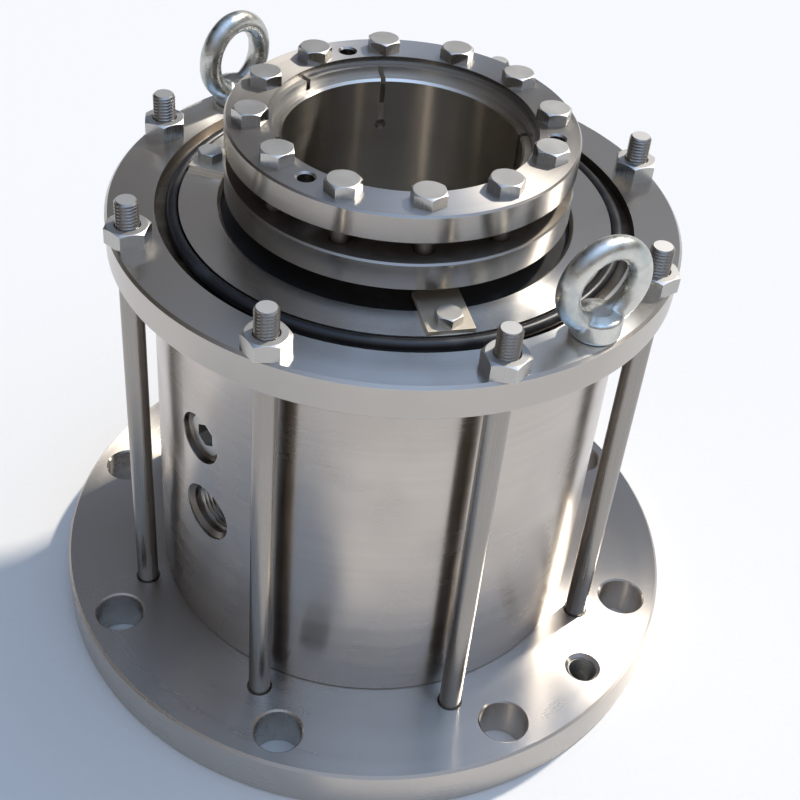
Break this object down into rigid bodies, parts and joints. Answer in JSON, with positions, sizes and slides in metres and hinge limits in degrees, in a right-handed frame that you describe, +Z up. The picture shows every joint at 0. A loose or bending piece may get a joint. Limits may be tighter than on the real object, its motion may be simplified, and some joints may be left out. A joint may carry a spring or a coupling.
{
  "type": "cartridge mechanical seal",
  "caption": "Cartridge double mechanical seal for a vertical shaft: bolted flange, closed shell with tie rods, shaft sleeve with clamping rings, lifting eyes and wave springs inside.",
  "frame": {"origin": "centre of the base flange's lower face, on the shaft's axis", "axes": "+Z up along the shaft, -Y towards the side that the picture shows"},
  "size_m": [0.305, 0.305, 0.2677],
  "materials": {
    "turned_steel": "fine turned stainless, satin",
    "polished_shell": "polished stainless with faint lengthwise bands",
    "polished_ring": "polished stainless, turned rim",
    "bored_sleeve": "bored stainless, fine honing marks",
    "bright_bolt": "bright stainless fastener",
    "drawn_rod": "drawn stainless bar with rolled thread ends",
    "zinc_plate": "bright zinc plate with a blue cast",
    "sheet_clip": "cut stainless strip",
    "black_rubber": "smooth black rubber",
    "hard_seat": "lapped silicon carbide",
    "carbon_ring": "lapped carbon",
    "bearing_steel": "ground bearing steel",
    "cage_brass": "machined brass",
    "spring_steel": "rolled spring steel"
  },
  "bodies": {
    "housing": {"base_flange": "turned_steel", "housing_shell": "polished_shell", "cover_ring": "turned_steel", "face_o_ring": "black_rubber", "tie_rods": "drawn_rod", "tie_rod_nuts": "bright_bolt", "eye_bolt_front": "zinc_plate", "eye_bolt_rear": "zinc_plate", "setting_clips": "sheet_clip", "clip_screws": "bright_bolt", "port_plug": "bright_bolt", "foot_o_ring": "black_rubber", "spigot_o_ring": "black_rubber", "lower_seat": "hard_seat", "lower_seat_o_ring": "black_rubber", "lower_seat_pins": "spring_steel", "seat_carrier": "turned_steel", "carrier_o_ring": "black_rubber", "upper_seat": "hard_seat", "upper_seat_o_ring": "black_rubber", "upper_seat_pins": "spring_steel", "bearing_outer_race": "bearing_steel", "lip_seal": "black_rubber"},
    "rotor": {"shaft_sleeve": "bored_sleeve", "shaft_o_ring": "black_rubber", "drive_collar": "turned_steel", "collar_set_screws": "spring_steel", "drive_pins": "spring_steel", "lower_wave_spring": "spring_steel", "upper_wave_spring": "spring_steel", "bearing_inner_race": "bearing_steel", "retaining_ring": "spring_steel", "taper_ring": "polished_ring", "clamp_ring_lower": "polished_ring", "clamp_ring_upper": "polished_ring", "clamp_bolts": "bright_bolt"},
    "ball_set": {"bearing_balls": "bearing_steel", "bearing_cage": "cage_brass"},
    "lower_float": {"lower_seal_ring": "carbon_ring", "lower_ring_o_ring": "black_rubber", "lower_thrust_washer": "turned_steel"},
    "upper_float": {"upper_seal_ring": "carbon_ring", "upper_ring_o_ring": "black_rubber", "upper_thrust_washer": "turned_steel"}
  },
  "joints": [
    {"name": "rotor_spin", "type": "hinge", "parent": "housing", "child": "rotor", "pos_m": [0, 0, 0.1835], "axis": [0, 0, 1], "continuous": true},
    {"name": "ball_orbit", "type": "hinge", "parent": "housing", "child": "ball_set", "pos_m": [0, 0, 0.1835], "axis": [0, 0, 1], "continuous": true},
    {"name": "lower_float_slide", "type": "slide", "parent": "rotor", "child": "lower_float", "axis": [0, 0, 1], "range_m": [0, 0.002], "stiffness_N_per_m": 8000, "springref_m": -0.006, "deforming": ["lower_wave_spring"]},
    {"name": "upper_float_slide", "type": "slide", "parent": "rotor", "child": "upper_float", "axis": [0, 0, -1], "range_m": [0, 0.002], "stiffness_N_per_m": 8000, "springref_m": -0.006, "deforming": ["upper_wave_spring"]}
  ],
  "couplings": [
    {"joint": "ball_orbit", "follows": "rotor_spin", "ratio": 0.4321}
  ]
}
